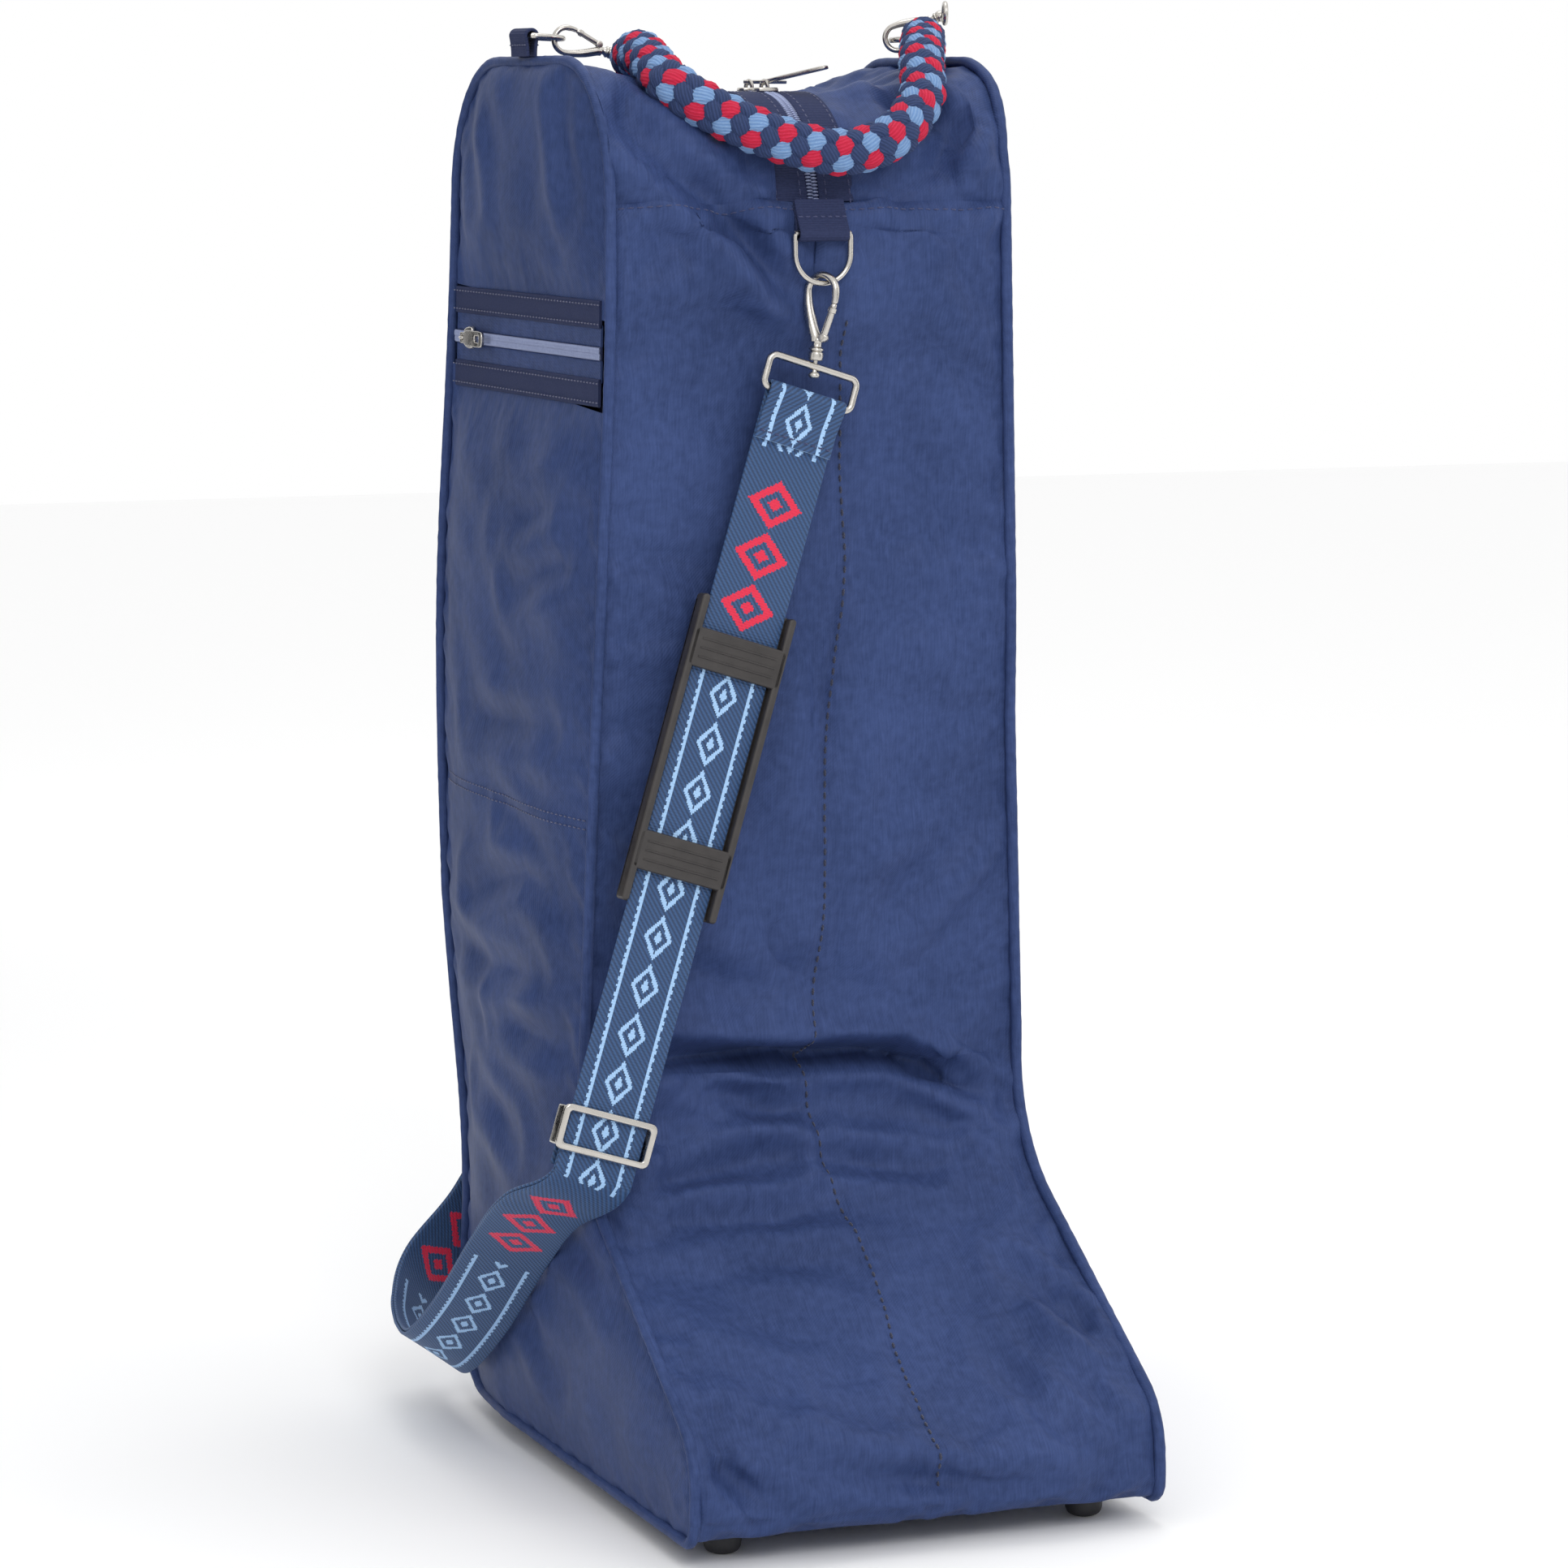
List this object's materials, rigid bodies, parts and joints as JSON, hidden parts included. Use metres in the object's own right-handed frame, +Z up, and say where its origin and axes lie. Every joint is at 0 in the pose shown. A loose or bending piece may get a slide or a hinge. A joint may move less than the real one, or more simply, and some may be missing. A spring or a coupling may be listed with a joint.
{
  "type": "tall boot bag",
  "caption": "Boot-shaped soft bag for tall riding boots, with a two-way top zip, a zipped side pocket, a braided handle on snap hooks and a webbing shoulder strap.",
  "frame": {"origin": "on the ground under the middle of the bag without its strap, midway between the toe and the rear D-ring", "axes": "+Z up, -Y towards the toe, +X towards the wearer's right-hand panel, the side without the pocket"},
  "size_m": [0.2698, 0.3812, 0.6787],
  "materials": {
    "satin_twill": "navy polyester satin twill with a soft sheen",
    "binding_tape": "dark navy woven tape, stitched",
    "lining": "plain dark lining cloth",
    "stiffener_board": "matt board",
    "zip_coil": "nylon coil, slightly shiny",
    "nickel": "polished nickel plate",
    "cotton_braid": "cotton rope braid, navy with light blue and red yarns",
    "strap_webbing": "woven webbing with light blue edge cords and a red woven figure",
    "pad_plastic": "black moulded plastic",
    "rubber_feet": "black moulded feet"
  },
  "bodies": {
    "bag": {"back_panel": "satin_twill", "base_board": "stiffener_board", "base_panel": "satin_twill", "centre_divider": "lining", "foot_front_left": "rubber_feet", "foot_front_right": "rubber_feet", "foot_rear_left": "rubber_feet", "foot_rear_right": "rubber_feet", "front_panel": "satin_twill", "instep_panel": "satin_twill", "side_panel_left": "satin_twill", "side_panel_left_top": "satin_twill", "side_panel_right": "satin_twill", "top_panel_left": "satin_twill", "top_panel_right": "satin_twill", "piping_left": "satin_twill", "piping_right": "satin_twill", "pocket_bag": "lining", "pocket_zip_tape_upper": "binding_tape", "pocket_zip_tape_lower": "binding_tape", "pocket_zip_chain": "zip_coil", "zip_tape_left": "binding_tape", "zip_tape_right": "binding_tape", "zip_chain": "zip_coil", "tab_front": "binding_tape", "tab_rear": "binding_tape", "tab_left": "binding_tape", "tab_right": "binding_tape", "handle_hook_left": "nickel", "handle_hook_right": "nickel"},
    "slider_front": {"slider_front": "nickel"},
    "puller_front": {"puller_front": "nickel"},
    "slider_rear": {"slider_rear": "nickel"},
    "puller_rear": {"puller_rear": "nickel"},
    "pocket_slider": {"pocket_slider": "nickel"},
    "pocket_puller": {"pocket_puller": "nickel"},
    "ring_front": {"ring_front": "nickel"},
    "ring_rear": {"ring_rear": "nickel"},
    "ring_left": {"ring_left": "nickel"},
    "ring_right": {"ring_right": "nickel"},
    "handle": {"handle_braid": "cotton_braid", "handle_loop_left": "nickel", "handle_loop_right": "nickel"},
    "handle_gate_left": {"handle_gate_left": "nickel"},
    "handle_gate_right": {"handle_gate_right": "nickel"},
    "strap": {"strap_main": "strap_webbing", "strap_return": "strap_webbing", "strap_loop_front": "nickel", "strap_loop_rear": "nickel", "strap_adjuster": "nickel"},
    "strap_hook_front": {"strap_hook_front": "nickel"},
    "strap_hook_rear": {"strap_hook_rear": "nickel"},
    "strap_gate_front": {"strap_gate_front": "nickel"},
    "strap_gate_rear": {"strap_gate_rear": "nickel"},
    "strap_pad": {"strap_pad": "pad_plastic"}
  },
  "joints": [
    {"name": "slider_front_travel", "type": "hinge", "parent": "bag", "child": "slider_front", "pos_m": [0, 0.01835, 0.575], "axis": [1, 0, 0], "range_deg": [0, 60]},
    {"name": "slider_rear_travel", "type": "slide", "parent": "bag", "child": "slider_rear", "axis": [0, 1, 0], "range_m": [0, 0.065]},
    {"name": "puller_front_flip", "type": "hinge", "parent": "slider_front", "child": "puller_front", "pos_m": [0, 0.02035, 0.6408], "axis": [-0.6428, -0.766, 0], "range_deg": [0, 150]},
    {"name": "puller_rear_flip", "type": "hinge", "parent": "slider_rear", "child": "puller_rear", "pos_m": [0, 0.04035, 0.6408], "axis": [0.6428, -0.766, 0], "range_deg": [0, 150]},
    {"name": "pocket_slider_travel", "type": "slide", "parent": "bag", "child": "pocket_slider", "axis": [0, -1, 0], "range_m": [0, 0.15]},
    {"name": "pocket_puller_flip", "type": "hinge", "parent": "pocket_slider", "child": "pocket_puller", "pos_m": [-0.10645, 0.14535, 0.52012], "axis": [-0.0204, 0, -0.9998], "range_deg": [0, 150]},
    {"name": "ring_front_play", "type": "hinge", "parent": "bag", "child": "ring_front", "pos_m": [0, -0.05315, 0.573], "axis": [1, 0, 0], "range_deg": [-1.5, 1.5]},
    {"name": "ring_rear_play", "type": "hinge", "parent": "bag", "child": "ring_rear", "pos_m": [0, 0.18485, 0.573], "axis": [1, 0, 0], "range_deg": [-1.5, 1.5]},
    {"name": "ring_left_play", "type": "hinge", "parent": "bag", "child": "ring_left", "pos_m": [-0.101, 0.06585, 0.6618], "axis": [0, -1, 0], "range_deg": [0, 3]},
    {"name": "ring_right_play", "type": "hinge", "parent": "bag", "child": "ring_right", "pos_m": [0.101, 0.06585, 0.6618], "axis": [0, 1, 0], "range_deg": [0, 3]},
    {"name": "handle_swing", "type": "hinge", "parent": "bag", "child": "handle", "pos_m": [0.02367, 0.06121, 0.66302], "axis": [-0.9916, 0.057, -0.1158], "range_deg": [0, 120]},
    {"name": "handle_gate_left_open", "type": "hinge", "parent": "bag", "child": "handle_gate_left", "pos_m": [-0.06446, 0.06585, 0.65798], "axis": [0, -1, 0], "range_deg": [0, 25], "stiffness_Nm_per_rad": 0.02},
    {"name": "handle_gate_right_open", "type": "hinge", "parent": "bag", "child": "handle_gate_right", "pos_m": [0.09875, 0.05902, 0.66669], "axis": [0.3926, 0.9197, 0], "range_deg": [0, 25], "stiffness_Nm_per_rad": 0.02},
    {"name": "strap_swing", "type": "hinge", "parent": "bag", "child": "strap", "pos_m": [0, 0.06585, 0.564], "axis": [0, 1, 0], "range_deg": [0, 60]},
    {"name": "strap_hook_front_swivel", "type": "hinge", "parent": "strap", "child": "strap_hook_front", "pos_m": [-0.00362, -0.05315, 0.51629], "axis": [-0.1045, 0, -0.9945], "range_deg": [-10, 10]},
    {"name": "strap_hook_rear_swivel", "type": "hinge", "parent": "strap", "child": "strap_hook_rear", "pos_m": [0, 0.18485, 0.5161], "axis": [0, 0, -1], "range_deg": [-10, 10]},
    {"name": "strap_gate_front_open", "type": "hinge", "parent": "strap_hook_front", "child": "strap_gate_front", "pos_m": [-0.00081, -0.05561, 0.52655], "axis": [-0.8161, -0.5715, 0.0858], "range_deg": [0, 25], "stiffness_Nm_per_rad": 0.02},
    {"name": "strap_gate_rear_open", "type": "hinge", "parent": "strap_hook_rear", "child": "strap_gate_rear", "pos_m": [0.00172, 0.18731, 0.5266], "axis": [0.8191, -0.5736, 0], "range_deg": [0, 25], "stiffness_Nm_per_rad": 0.02},
    {"name": "strap_pad_travel", "type": "slide", "parent": "strap", "child": "strap_pad", "axis": [-0.3038, -0.0651, -0.9505], "range_m": [-0.06, 0.06]}
  ]
}
